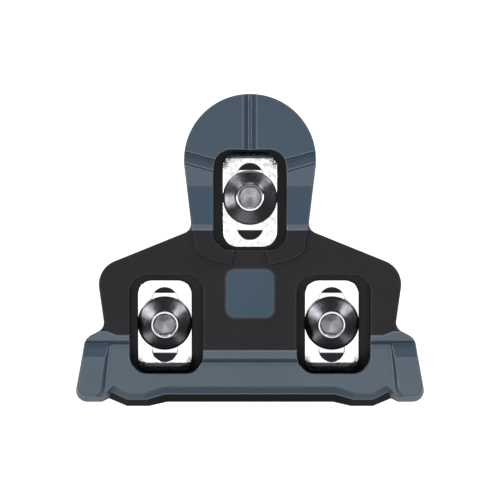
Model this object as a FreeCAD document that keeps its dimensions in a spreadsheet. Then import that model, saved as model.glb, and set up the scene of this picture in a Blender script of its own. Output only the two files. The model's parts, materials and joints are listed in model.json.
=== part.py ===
import FreeCAD, Part
import math
import os
import Sketcher

# Three-bolt road cleat in its own frame, in millimetres.
# +Y points to the tongue, +Z to the pedal, X = 0 is the plane of symmetry.
# Y = 0 is halfway along the cleat and Z = 0 is the lowest edge, on the shoe side.

DRIVING_SIZES = {
    # sole side: the hollow arch that lies on the shoe
    "arch_radius": 95.0,
    "arch_crown_place": 6.0,
    "wing_end": 30.4,
    "base_front_end": 26.0,
    "base_rear_end": 26.0,
    "rear_gap_half_width": 23.5,
    "rear_gap_top": 6.4,
    # levels on the pedal side, above the arch's crown or below the plateau
    "body_thickness": 6.9,
    "block_rise": 0.9,
    "ledge_drop": 1.25,
    "ledge_rim": 0.35,
    "rear_edge_drop": 4.4,
    "wing_pad_rise": 0.75,
    # base outline, right half
    "front_end_half_width": 9.6,
    "nose_half_width": 12.2,
    "base_neck_half_width": 11.7,
    "neck_place": 6.4,
    "neck_foot_half_width": 11.9,
    "shoulder_inner_place": 3.9,
    "shoulder_inset": 4.6,
    "shoulder_outer_place": -3.7,
    "waist_inset": 6.3,
    "waist_place": -15.6,
    "wing_front_inset": 2.35,
    "wing_front_place": -17.6,
    "wing_half_width": 35.3,
    "wing_draft": 0.5,
    "wing_rear_inset": 5.7,
    "notch_inset": 7.1,
    "notch_depth": 0.7,
    "lobe_outer_half_width": 24.6,
    "lobe_inner_half_width": 20.2,
    "lobe_lean": 0.2,
    "lobe_reach": 0.83,
    "straight_half_width": 16.6,
    "straight_lean": 0.6,
    "rear_chamfer_run": 3.05,
    "lobe_chamfer_run": 2.55,
    "wing_chamfer_run": 0.95,
    "corner_round": 1.6,
    "nose_round": 4.8,
    "neck_round": 2.0,
    "shoulder_round": 5.0,
    "waist_round": 2.0,
    "wing_front_round": 2.8,
    "wing_corner_round": 2.3,
    "notch_round": 0.3,
    "lobe_round": 0.6,
    "rim_round": 0.25,
    # raised front block and its round tongue
    "tongue_radius": 13.2,
    "tongue_place": 18.0,
    "tongue_underside_drop": 3.7,
    "tongue_tip_drop": 0.45,
    "dome_edge_rise": 0.5,
    "strip_rear_half_width": 11.6,
    "strip_rear_place": 4.0,
    "pad_corner_half_width": 10.9,
    "pad_corner_place": -0.6,
    "pad_end_half_width": 3.7,
    "pad_end_place": -3.1,
    "pad_bulge": 0.55,
    "channel_half_width": 3.2,
    "pad_round": 0.9,
    "groove_half_width": 1.15,
    "groove_floor_half_width": 0.35,
    "groove_depth": 0.85,
    # saddle across the side strips
    "saddle_slant": 0.283,
    "first_step_place": 16.2,
    "first_step_run": 0.45,
    "first_step_drop": 0.72,
    "shelf_rise": 0.32,
    "second_step_place": 13.85,
    "second_step_run": 0.55,
    "saddle_drop": 0.3,
    "ramp_start": 12.7,
    "ramp_end": 5.1,
    # steps down to the rear ledge
    "middle_step_place": -21.7,
    "outer_step_place": -18.1,
    "ledge_step_run": 0.8,
    # wing pads
    "pad_ramp_end": -21.35,
    "pad_rear_inset": 5.35,
    "pad_taper": 1.15,
    "pad_corner_round": 1.3,
    "pad_slope_run": 1.5,
    "pad_ramp_slope": 0.16,
    "pad_rear_place": -29.05,
    "pad_rear_slope": 0.4,
    "pad_rim_round": 0.3,
    # pockets for the washers
    "front_pocket_place": 10.0,
    "rear_pocket_place": -14.9,
    "rear_pocket_half_spacing": 16.7,
    "pocket_width": 14.6,
    "rear_pocket_length": 19.7,
    "front_pocket_extra": 0.3,
    "pocket_round": 3.6,
    "floor_thickness": 3.0,
    "hole_width": 8.8,
    "hole_length": 12.0,
    "hole_round": 1.5,
    "rear_hole_lead": 0.3,
    # colour split between the core and the two end caps
    "front_cap_thickness": 3.2,
    "rear_cap_thickness": 1.7,
    "rear_cap_middle_place": -20.1,
    "rear_cap_outer_place": -17.1,
    "seam_turn": 2.6,
    "seam_rise": 0.8,
    "seam_inset": 6.7,
    "wing_cap_inset": 7.1,
    "wing_cap_step": 1.4,
    "wing_cap_depth": 2.2,
    # centre tile
    "tile_width": 9.65,
    "tile_round": 1.75,
    "tile_place": -8.7,
    "tile_thickness": 1.4,
    "tile_proud": 0.25,
    "tile_edge_round": 0.2,
    "tile_clearance": 0.05,
    # slotted washers
    "washer_width": 11.0,
    "washer_end_play": 0.3,
    "washer_thickness": 1.8,
    "washer_round": 3.0,
    "washer_edge": 0.2,
    "washer_roll_run": 1.3,
    "washer_roll_drop": 0.5,
    "slot_width": 5.1,
    "slot_end_band": 1.9,
    "slot_shift": 0.35,
    "slot_edge": 0.1,
    # how far the loose pieces are slid from the middle of their pockets
    "rear_washer_slide": -0.34,
    "front_bolt_slide": 0.36,
    "rear_bolt_slide": 0.8,
    # bolts
    "thread_radius": 2.5,
    "neck_radius": 2.2,
    "neck_length": 2.4,
    "bolt_length": 8.0,
    "tip_chamfer": 0.5,
    "head_radius": 5.45,
    "head_rim_height": 0.8,
    "head_edge": 0.2,
    "head_height": 2.2,
    "ring_radius": 2.75,
    "ring_edge": 0.25,
    "socket_width": 4.0,
    "socket_depth": 1.7,
}

doc = FreeCAD.newDocument("cleat")
sheet = doc.addObject("Spreadsheet::Sheet", "Sizes")
for row, (word, value) in enumerate(DRIVING_SIZES.items(), start=1):
    sheet.set(f"A{row}", word)
    sheet.set(f"B{row}", str(value))
    sheet.setAlias(f"B{row}", word)
doc.recompute()


def size(word):
    return float(sheet.get(word))


# Levels worked out from the driving sizes

def arch_height(place):
    """Height of the sole arch's surface at one place along Y."""
    reach = size("arch_radius")
    crown = reach - math.sqrt(reach ** 2 - (size("wing_end") + size("arch_crown_place")) ** 2)
    fall = reach - math.sqrt(reach ** 2 - (place - size("arch_crown_place")) ** 2)
    return crown - fall


def arch_tilt(place):
    """Slope of the sole at one place along Y, in degrees, nose up to the rear."""
    return math.degrees(math.asin((size("arch_crown_place") - place) / size("arch_radius")))


crown_level = arch_height(size("arch_crown_place"))
plateau_level = crown_level + size("body_thickness")
block_level = plateau_level + size("block_rise")
ledge_level = plateau_level - size("ledge_drop")
ledge_rim_level = ledge_level - size("ledge_rim")
rear_edge_level = plateau_level - size("rear_edge_drop")
tongue_underside = plateau_level - size("tongue_underside_drop")
above_all = block_level + 5.0
far_out = size("wing_half_width") + 10.0


def rounded_wire(corners, level):
    """Closed outline through (x, y, radius) corners, with tangent arcs, at one level."""
    spots = [FreeCAD.Vector(x, y, level) for x, y, _ in corners]
    edges = []
    starts = []
    ends = []
    middles = []
    for index, (_, _, radius) in enumerate(corners):
        here = spots[index]
        to_last = (spots[index - 1] - here).normalize()
        to_next = (spots[(index + 1) % len(spots)] - here).normalize()
        half_angle = to_last.getAngle(to_next) / 2.0
        if radius <= 0.0:
            starts.append(here)
            ends.append(here)
            middles.append(None)
            continue
        run = radius / math.tan(half_angle)
        towards = (to_last + to_next).normalize()
        center = here + towards * (radius / math.sin(half_angle))
        starts.append(here + to_last * run)
        ends.append(here + to_next * run)
        middles.append(center - towards * radius)
    for index in range(len(corners)):
        if middles[index] is not None:
            edges.append(Part.Arc(starts[index], middles[index], ends[index]).toShape())
        following = (index + 1) % len(corners)
        edges.append(Part.makeLine(ends[index], starts[following]))
    return Part.Wire(edges)


def prism(corners, low, high):
    """Upright solid over a rounded outline."""
    face = Part.Face(rounded_wire(corners, low))
    return face.extrude(FreeCAD.Vector(0, 0, high - low))


def ruled_solid(low_corners, low, high_corners, high):
    """Solid between two outlines with the same corners, with straight walls."""
    wires = [rounded_wire(low_corners, low), rounded_wire(high_corners, high)]
    return Part.makeLoft(wires, True, True)


def side_solid(profile, start, reach, slant=0.0):
    """Side profile of (y, z) points, carried along X from start by reach."""
    spots = [FreeCAD.Vector(start, y, z) for y, z in profile]
    face = Part.Face(Part.makePolygon(spots + spots[:1]))
    return face.extrude(FreeCAD.Vector(reach, abs(reach) * slant, 0))


def both_sides(half):
    """Corner list of the right half, front to rear, closed round the left half."""
    return half + [(-x, y, radius) for x, y, radius in reversed(half)]


def rounded_block(width, length, radius, place_x, place_y):
    """Corners of a rounded rectangle."""
    half_x = width / 2.0
    half_y = length / 2.0
    turns = ((half_x, half_y), (half_x, -half_y), (-half_x, -half_y), (-half_x, half_y))
    return [(place_x + x, place_y + y, radius) for x, y in turns]


# The moulded form: the whole plastic body before it is told apart by colour.
# It is made of layers. Each layer gets its rounded rims first and reaches down into
# the layer below it by more than a rim's radius, so no gap opens where they meet.

def rounded_rims(shape, radius, wanted):
    """The same solid with a round on every edge that the rule asks for."""
    rims = [edge for edge in shape.Edges if wanted(edge)]
    if not rims:
        raise RuntimeError("no rim was found to round")
    rounded = shape.makeFillet(radius, rims)
    if not rounded.isValid():
        raise RuntimeError("a rim could not be rounded")
    return rounded


def edge_spots(edge):
    """Both ends and the middle of an edge."""
    first, last = edge.ParameterRange
    return [edge.valueAt(first), edge.valueAt((first + last) / 2.0), edge.valueAt(last)]


def lies_on(edge, height):
    """True where the whole edge lies on a surface, given as its height at each (x, y)."""
    return all(abs(spot.z - height(spot.x, spot.y)) < 0.002 for spot in edge_spots(edge))


def front_outline():
    """Right half of the base outline, from the front end to the neck under the tongue."""
    return [
        (size("front_end_half_width"), size("base_front_end"), size("corner_round")),
        (size("nose_half_width"), size("tongue_place"), size("nose_round")),
    ]


def shoulder_outline(neck_corner):
    """Right half of the base outline, from the neck to the wing's front corner."""
    waist = size("wing_half_width") - size("waist_inset")
    shoulder = size("wing_half_width") - size("shoulder_inset")
    wing_front = size("wing_half_width") - size("wing_front_inset")
    return [
        (size("base_neck_half_width"), size("neck_place"), neck_corner),
        (size("neck_foot_half_width"), size("shoulder_inner_place"), size("neck_round")),
        (shoulder, size("shoulder_outer_place"), size("shoulder_round")),
        (waist, size("waist_place"), size("waist_round")),
        (wing_front, size("wing_front_place"), size("wing_front_round")),
    ]


def rear_outline(step):
    """Right half of the rear contour; step is 0 at its lower edge and 1 at its upper edge."""
    end = -size("wing_end")
    wide = size("wing_half_width")
    wing_run = size("wing_chamfer_run") * step
    lobe_run = size("lobe_chamfer_run") * step
    straight_run = size("rear_chamfer_run") * step
    lobe_end = end - size("lobe_reach")
    notch = end + size("notch_depth")
    small = size("notch_round")
    soft = size("lobe_round")
    return [
        (wide - size("wing_draft") * step, end + wing_run, size("wing_corner_round")),
        (wide - size("wing_rear_inset"), end + wing_run, small),
        (wide - size("notch_inset") - step, notch + lobe_run, small),
        (size("lobe_outer_half_width") - size("lobe_lean") * step, lobe_end + lobe_run, soft),
        (size("lobe_inner_half_width") + step, lobe_end + lobe_run, soft),
        (size("straight_half_width") + size("straight_lean") * step, end + straight_run, soft),
    ]


def at_ledge(x, y):
    return ledge_level


def at_plateau(x, y):
    return plateau_level


def base_outline(step):
    """The whole base outline, closed round both halves."""
    neck = shoulder_outline(size("corner_round"))
    return both_sides(front_outline() + neck + rear_outline(step))


def lower_layer():
    """Skirt, rear chamfer and ledge, with the pockets for the washers."""
    low = base_outline(0.0)
    high = base_outline(1.0)
    skirt = prism(low, 0.0, rear_edge_level)
    chamfered = ruled_solid(low, rear_edge_level, high, ledge_rim_level)
    plate = prism(high, ledge_rim_level, ledge_level)
    layer = skirt.fuse([chamfered, plate]).removeSplitter()
    layer = layer.cut(washer_pockets())
    return rounded_rims(layer, size("rim_round"), lambda edge: lies_on(edge, at_ledge))


def step_slope(place):
    """Slope of one step down to the ledge, carried on down into the layer below."""
    run = size("ledge_step_run")
    drop = plateau_level - ledge_level
    deep = 3.0
    return [
        (place, above_all),
        (place, plateau_level),
        (place - run * deep / drop, plateau_level - deep),
        (-size("wing_end") - far_out, plateau_level - deep),
        (-size("wing_end") - far_out, above_all),
    ]


def plateau_layer():
    """Black plateau, from the neck to the steps down to the ledge."""
    outline = both_sides(shoulder_outline(0.0) + rear_outline(1.0))
    layer = prism(outline, ledge_rim_level - 1.0, plateau_level)
    side = size("rear_pocket_half_spacing")
    outer = step_slope(size("outer_step_place"))
    layer = layer.cut(side_solid(step_slope(size("middle_step_place")), -far_out, 2.0 * far_out))
    layer = layer.cut([side_solid(outer, side, far_out), side_solid(outer, -side, -far_out)])
    layer = layer.cut([prism(pocket_corners(name), 0.0, above_all) for name in POCKETS])

    def wanted(edge):
        spots = edge_spots(edge)
        if min(spot.y for spot in spots) > size("shoulder_inner_place"):
            return False
        return lies_on(edge, at_plateau)

    return rounded_rims(layer, size("rim_round"), wanted)


def dome_plane(x, y):
    """Height of the tongue's top, which falls to its tip."""
    tip = size("tongue_place") + size("tongue_radius")
    dome_edge = plateau_level + size("dome_edge_rise")
    dome_tip = plateau_level - size("tongue_tip_drop")
    edge_place = size("first_step_place") + size("saddle_slant") * size("pocket_width") / 2.0
    slope = (dome_edge - dome_tip) / (tip - edge_place)
    return dome_edge - slope * (y - edge_place)


def strip_profile(x, y):
    """Height along the side strips: the pads, the ramp and the saddle."""
    saddle = plateau_level - size("saddle_drop")
    if y >= size("ramp_start"):
        return saddle
    if y <= size("ramp_end"):
        return block_level
    part = (size("ramp_start") - y) / (size("ramp_start") - size("ramp_end"))
    return saddle + (block_level - saddle) * part


def tongue_wire(half):
    """Outline of the tongue's arc, closed behind it by straight sides through the corners."""
    radius = size("tongue_radius")
    across = half[0][0]
    along = half[0][1] - size("tongue_place")
    # the sides run on from the arc without a corner
    towards = math.atan2(along, across) + math.acos(radius / math.hypot(across, along))
    side_x = radius * math.cos(towards)
    side_y = size("tongue_place") + radius * math.sin(towards)
    tip = FreeCAD.Vector(0, size("tongue_place") + radius, tongue_underside)
    right = FreeCAD.Vector(side_x, side_y, tongue_underside)
    left = FreeCAD.Vector(-side_x, side_y, tongue_underside)
    arc = Part.Arc(left, tip, right).toShape()
    corners = [(side_x, side_y, 0.0)] + half
    behind = rounded_wire(both_sides(corners), tongue_underside)
    front = [edge for edge in behind.Edges if lies_across(edge, side_y)]
    rest = [edge for edge in behind.Edges if not lies_across(edge, side_y)]
    if len(front) != 1:
        raise RuntimeError("the tongue's sides don't close")
    return Part.Wire(Part.__sortEdges__([arc] + rest))


def lies_across(edge, place):
    return all(abs(spot.y - place) < 0.0001 for spot in edge_spots(edge))


def strip_layer():
    """Both side strips and the two pads behind them."""
    pad_round = size("pad_round")
    channel = size("channel_half_width")
    bulge_x = (size("pad_corner_half_width") + size("pad_end_half_width")) / 2.0
    bulge_y = (size("pad_corner_place") + size("pad_end_place")) / 2.0 - size("pad_bulge")
    half = [
        (size("strip_rear_half_width"), size("strip_rear_place"), 0.0),
        (size("pad_corner_half_width"), size("pad_corner_place"), pad_round),
        (bulge_x, bulge_y, 2.0 * pad_round),
        (size("pad_end_half_width"), size("pad_end_place"), pad_round / 3.0),
        (channel, size("pad_end_place") + 2.0 * pad_round, pad_round / 3.0),
        (channel, size("pad_corner_place") + 2.0 * pad_round, 0.0),
    ]
    layer = Part.Face(tongue_wire(half)).extrude(FreeCAD.Vector(0, 0, block_level - tongue_underside))
    saddle = plateau_level - size("saddle_drop")
    over = side_solid(
        [
            (size("tongue_place") + far_out, above_all),
            (size("tongue_place") + far_out, 0.0),
            (size("tongue_place"), 0.0),
            (size("tongue_place"), saddle),
            (size("ramp_start"), saddle),
            (size("ramp_end"), block_level),
            (size("ramp_end"), above_all),
        ],
        -far_out,
        2.0 * far_out,
    )
    layer = layer.cut(over)
    layer = layer.cut(prism(pocket_corners("front"), 0.0, above_all))

    def wanted(edge):
        spots = edge_spots(edge)
        across = max(spot.y for spot in spots) - min(spot.y for spot in spots) < 0.001
        if across and spots[1].y > size("strip_rear_place"):
            return False
        return lies_on(edge, strip_profile)

    return rounded_rims(layer, size("rim_round"), wanted)


def above_slope(height, front, rear):
    """Everything above a plane that runs straight across, between two places along Y."""
    profile = [(front, height(0.0, front)), (front, above_all), (rear, above_all),
               (rear, height(0.0, rear))]
    return side_solid(profile, -far_out, 2.0 * far_out)


def tongue_layer():
    """Round tongue: its top slopes to the tip, with a groove along it and steps behind it."""
    tip = size("tongue_place") + size("tongue_radius")
    slant = size("saddle_slant")
    outline = tongue_wire([(size("strip_rear_half_width"), size("strip_rear_place"), 0.0)])
    layer = Part.Face(outline).extrude(FreeCAD.Vector(0, 0, above_all - tongue_underside))
    layer = layer.cut(above_slope(dome_plane, tip + far_out, 0.0))
    layer = layer.cut(prism(pocket_corners("front"), 0.0, above_all))
    reach = size("second_step_place")

    def wanted(edge):
        spots = edge_spots(edge)
        if max(spot.y for spot in spots) < reach:
            return False
        return lies_on(edge, dome_plane)

    layer = rounded_rims(layer, size("rim_round"), wanted)
    first = size("first_step_place")
    first_foot = first - size("first_step_run")
    second_foot = reach - size("second_step_run")
    dome_edge = plateau_level + size("dome_edge_rise")
    shelf = dome_edge - size("first_step_drop")
    saddle = plateau_level - size("saddle_drop")
    stepped = [
        (first, above_all),
        (first, dome_edge),
        (first_foot, shelf),
        (reach, shelf + size("shelf_rise")),
        (second_foot, saddle),
        (second_foot, 0.0),
        (-far_out, 0.0),
        (-far_out, above_all),
    ]
    right = side_solid(stepped, 0.0, far_out, slant)
    left = side_solid(stepped, 0.0, -far_out, slant)
    return layer.cut([right, left, tongue_groove()])


def tongue_groove():
    """Shallow channel with sloping sides and broken edges along the top of the tongue."""
    start = size("front_pocket_place")
    level = dome_plane(0.0, start)
    half = size("groove_half_width")
    floor_half = size("groove_floor_half_width")
    lip = size("rim_round")
    side = [
        (half + lip, above_all - level),
        (half + lip, 0.0),
        (half, -lip / 2.0),
        (floor_half, -size("groove_depth")),
    ]
    ring = side + [(-x, z) for x, z in reversed(side)]
    spots = [FreeCAD.Vector(x, start, level + z) for x, z in ring]
    reach = size("tongue_place") + size("tongue_radius") + 1.0 - start
    fall = dome_plane(0.0, start + reach) - level
    section = Part.Face(Part.makePolygon(spots + spots[:1]))
    return section.extrude(FreeCAD.Vector(0, reach, fall))


def wing_pad():
    """Raised pad on the right wing, with a long ramp in front and a slope on its inner side."""
    foot = ledge_level - 2.0 * size("rim_round")
    top = ledge_level + size("wing_pad_rise")
    inner_rear = size("wing_half_width") - size("pad_rear_inset")
    inner = inner_rear - size("pad_taper")
    rear = size("pad_rear_place")
    front = size("pad_ramp_end")
    run = size("pad_slope_run")
    turn = size("pad_corner_round")
    ramp_run = (top - foot) / size("pad_ramp_slope")
    low = [
        (far_out, front + ramp_run, 0.0),
        (far_out, rear - size("pad_rear_slope"), 0.0),
        (inner_rear - run, rear - size("pad_rear_slope"), turn + run),
        (inner - run, front + ramp_run, 0.0),
    ]
    high = [
        (far_out, front, 0.0),
        (far_out, rear, 0.0),
        (inner_rear, rear, turn),
        (inner, front, 0.0),
    ]
    pad = ruled_solid(low, foot, high, top).common(prism(base_outline(1.0), 0.0, above_all))

    def wanted(edge):
        return lies_on(edge, lambda x, y: top)

    return rounded_rims(pad, size("pad_rim_round"), wanted)


def pocket_corners(name):
    place_x, place_y = POCKETS[name]
    extra = size("front_pocket_extra") if name == "front" else 0.0
    length = size("rear_pocket_length") + extra
    return rounded_block(size("pocket_width"), length, size("pocket_round"), place_x, place_y)


POCKETS = {
    "front": (0.0, size("front_pocket_place")),
    "left": (-size("rear_pocket_half_spacing"), size("rear_pocket_place")),
    "right": (size("rear_pocket_half_spacing"), size("rear_pocket_place")),
}


def floor_frame(name):
    """Place and slope of a pocket's floor, which lies parallel to the sole under it."""
    place_x, place_y = POCKETS[name]
    tilt = arch_tilt(place_y)
    level = arch_height(place_y) + size("floor_thickness") / math.cos(math.radians(tilt))
    turn = FreeCAD.Rotation(FreeCAD.Vector(1, 0, 0), tilt)
    return FreeCAD.Placement(FreeCAD.Vector(place_x, place_y, level), turn)


def washer_frame(name):
    """Rest of a washer on its floor, with its rolled end towards the cleat's near end."""
    slide = 0.0 if name == "front" else size("rear_washer_slide")
    turn = 0.0 if name == "front" else 180.0
    rest = FreeCAD.Placement(FreeCAD.Vector(slide, 0, 0),
                             FreeCAD.Rotation(FreeCAD.Vector(0, 0, 1), turn))
    return floor_frame(name).multiply(rest)


def bolt_frame(name):
    """Rest of a bolt on its washer, slid along the slot."""
    across = 0.0 if name == "front" else size("rear_washer_slide")
    along = size("front_bolt_slide" if name == "front" else "rear_bolt_slide")
    rest = FreeCAD.Placement(FreeCAD.Vector(across, along, size("washer_thickness")),
                             FreeCAD.Rotation())
    return floor_frame(name).multiply(rest)


def washer_pockets():
    """Upright pockets that end on a sloping floor."""
    tools = []
    for name, (place_x, place_y) in POCKETS.items():
        shaft = prism(pocket_corners(name), 0.0, above_all)
        reach = size("rear_pocket_length") + size("front_pocket_extra")
        over = Part.makeBox(2.0 * reach, 2.0 * reach, 2.0 * reach, FreeCAD.Vector(-reach, -reach, 0))
        over.Placement = floor_frame(name)
        tools.append(shaft.common(over))
        lead = 0.0 if name == "front" else size("rear_hole_lead")
        opening = rounded_block(size("hole_width"), size("hole_length"), size("hole_round"),
                                place_x, place_y + lead)
        tools.append(prism(opening, -1.0, above_all - 1.0))
    return tools


def sole_arch():
    """The hollow on the shoe side, and the gap behind the base that the pedal's jaw enters."""
    radius = size("arch_radius")
    center = FreeCAD.Vector(-far_out, size("arch_crown_place"), crown_level - radius)
    arch = Part.makeCylinder(radius, 2.0 * far_out, center, FreeCAD.Vector(1, 0, 0))
    half = size("rear_gap_half_width")
    rear = -size("base_rear_end")
    gap = Part.makeBox(2.0 * half, far_out, size("rear_gap_top") + 1.0,
                       FreeCAD.Vector(-half, rear - far_out, -1.0))
    return arch.fuse(gap)


def moulded_form():
    right_pad = wing_pad()
    left_pad = right_pad.mirror(FreeCAD.Vector(0, 0, 0), FreeCAD.Vector(1, 0, 0))
    layers = [plateau_layer(), strip_layer(), tongue_layer(), right_pad, left_pad]
    form = lower_layer().fuse(layers)
    form = form.cut(sole_arch())
    return form.removeSplitter()


# The split by colour

def front_cap_zone():
    """Everything of the form that belongs to the front end cap."""
    seam = size("strip_rear_place")
    low = block_level - size("front_cap_thickness")
    over = Part.makeBox(2.0 * far_out, far_out, above_all, FreeCAD.Vector(-far_out, seam, low))
    nose = Part.makeBox(2.0 * far_out, far_out, above_all,
                        FreeCAD.Vector(-far_out, size("base_front_end"), 0.0))
    return over.fuse(nose)


def rear_cap_zone():
    """Everything of the form that belongs to the rear end cap and its two wings."""
    rear = -size("wing_end") - size("lobe_reach") - 1.0
    side = size("rear_pocket_half_spacing")
    wing = size("wing_half_width") - size("wing_cap_inset")
    low = ledge_level - size("rear_cap_thickness")
    middle_seam = size("rear_cap_middle_place")
    outer_seam = size("rear_cap_outer_place")
    seam = both_sides([
        (side, middle_seam, 0.0),
        (side, outer_seam, 0.0),
        (side + size("pocket_width") / 2.0 + size("seam_turn"), outer_seam, 0.0),
        (size("wing_half_width") - size("seam_inset"), outer_seam + size("seam_rise"), 0.0),
        (far_out, outer_seam + size("seam_rise"), 0.0),
        (far_out, rear, 0.0),
    ])
    ledge = prism(seam, low, above_all)
    wing_outline = [
        (wing, outer_seam - size("wing_cap_step"), 0.0),
        (far_out, outer_seam - size("wing_cap_step"), 0.0),
        (far_out, rear, 0.0),
        (wing, rear, 0.0),
    ]
    right = prism(wing_outline, low - size("wing_cap_depth"), above_all)
    left = right.mirror(FreeCAD.Vector(0, 0, 0), FreeCAD.Vector(1, 0, 0))
    return ledge.fuse([right, left])


def tile_recess():
    """Seat of the centre tile, a little wider than the tile."""
    play = 2.0 * size("tile_clearance")
    side = size("tile_width") + play
    corners = rounded_block(side, side, size("tile_round") + play / 2.0, 0.0, size("tile_place"))
    floor = plateau_level + size("tile_proud") - size("tile_thickness")
    return prism(corners, floor, above_all)


def shape_object(name, shape):
    made = doc.addObject("Part::Feature", name)
    made.Shape = shape
    return made


form = shape_object("moulded_form", moulded_form())
front_zone = shape_object("front_cap_zone", front_cap_zone())
rear_zone = shape_object("rear_cap_zone", rear_cap_zone())
recess = shape_object("tile_recess", tile_recess())

front_cap = doc.addObject("Part::Common", "front_cap")
front_cap.Base = form
front_cap.Tool = front_zone

rear_cap = doc.addObject("Part::Common", "rear_cap")
rear_cap.Base = form
rear_cap.Tool = rear_zone

coloured = doc.addObject("Part::MultiFuse", "away_from_core")
coloured.Shapes = [front_zone, rear_zone, recess]

core = doc.addObject("Part::Cut", "core")
core.Base = form
core.Tool = coloured


# Sketch helpers for the sheet-bound pieces

def origin_plane(body, role):
    return [item for item in body.Origin.OriginFeatures if item.Role == role][0]


def new_sketch(body, name, role):
    sketch = body.newObject("Sketcher::SketchObject", name)
    sketch.AttachmentSupport = (origin_plane(body, role), [""])
    sketch.MapMode = "FlatFace"
    return sketch


def lift(sketch, formula):
    """Raise a sketch off its plane by a formula of sheet sizes."""
    sketch.setExpression(".AttachmentOffset.Base.z", formula)


def bind(sketch, kind, first, second, word, formula, guess):
    """One dimension of a sketch, tied to the sheet."""
    sketch.addConstraint(Sketcher.Constraint(kind, *first, *second, guess))
    index = sketch.ConstraintCount - 1
    sketch.renameConstraint(index, word)
    sketch.setExpression(f"Constraints.{word}", formula)


def centred_box(sketch, width, length):
    """Rectangle about the sketch's origin; width and length are formulas of sheet sizes."""
    wide = float(sketch.evalExpression(width))
    long = float(sketch.evalExpression(length))
    half_x = wide / 2.0
    half_y = long / 2.0
    turns = [(-half_x, -half_y), (half_x, -half_y), (half_x, half_y), (-half_x, half_y)]
    for index in range(4):
        here = FreeCAD.Vector(*turns[index], 0)
        there = FreeCAD.Vector(*turns[(index + 1) % 4], 0)
        sketch.addGeometry(Part.LineSegment(here, there), False)
    for index in range(4):
        following = (index + 1) % 4
        sketch.addConstraint(Sketcher.Constraint("Coincident", index, 2, following, 1))
    for index in (0, 2):
        sketch.addConstraint(Sketcher.Constraint("Horizontal", index))
    for index in (1, 3):
        sketch.addConstraint(Sketcher.Constraint("Vertical", index))
    sketch.addConstraint(Sketcher.Constraint("Symmetric", 0, 1, 2, 1, -1, 1))
    bind(sketch, "DistanceX", (0, 1), (0, 2), "width", width, wide)
    bind(sketch, "DistanceY", (1, 1), (1, 2), "length", length, long)


def upright_edges(shape):
    """Names of the straight edges along Z."""
    names = []
    for index, edge in enumerate(shape.Edges, start=1):
        box = edge.BoundBox
        if box.XLength < 1e-6 and box.YLength < 1e-6:
            names.append(f"Edge{index}")
    return names


def rim_edges(shape, level):
    """Names of the edges that lie wholly at one level."""
    names = []
    for index, edge in enumerate(shape.Edges, start=1):
        box = edge.BoundBox
        if abs(box.ZMin - level) < 1e-6 and abs(box.ZMax - level) < 1e-6:
            names.append(f"Edge{index}")
    return names


def add_dressing(body, kind, name, base, edges, value):
    """Round or bevel named edges of the body's last feature."""
    made = body.newObject(kind, name)
    made.Base = (base, edges)
    target = "Radius" if kind == "PartDesign::Fillet" else "Size"
    made.setExpression(target, value)
    doc.recompute()
    return made


# Centre tile: a small rounded square, set into the core and standing a little proud

def build_tile():
    body = doc.addObject("PartDesign::Body", "centre_tile")
    sketch = new_sketch(body, "tile_outline", "XY_Plane")
    centred_box(sketch, "Sizes.tile_width", "Sizes.tile_width")
    pad = body.newObject("PartDesign::Pad", "tile_plate")
    pad.Profile = sketch
    pad.setExpression("Length", "Sizes.tile_thickness")
    doc.recompute()
    corners = add_dressing(body, "PartDesign::Fillet", "tile_corners", pad,
                           upright_edges(pad.Shape), "Sizes.tile_round")
    add_dressing(body, "PartDesign::Fillet", "tile_rim", corners,
                 rim_edges(corners.Shape, size("tile_thickness")), "Sizes.tile_edge_round")
    level = plateau_level + size("tile_proud") - size("tile_thickness")
    body.Placement = FreeCAD.Placement(FreeCAD.Vector(0, size("tile_place"), level),
                                       FreeCAD.Rotation())
    return body


# Slotted washers: a stamped plate with one rolled end and a long round-ended slot

WASHER_LENGTH = "(Sizes.rear_pocket_length - 2 * Sizes.washer_end_play)"
SLOT_LENGTH = f"({WASHER_LENGTH} - 2 * Sizes.slot_end_band)"


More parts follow.
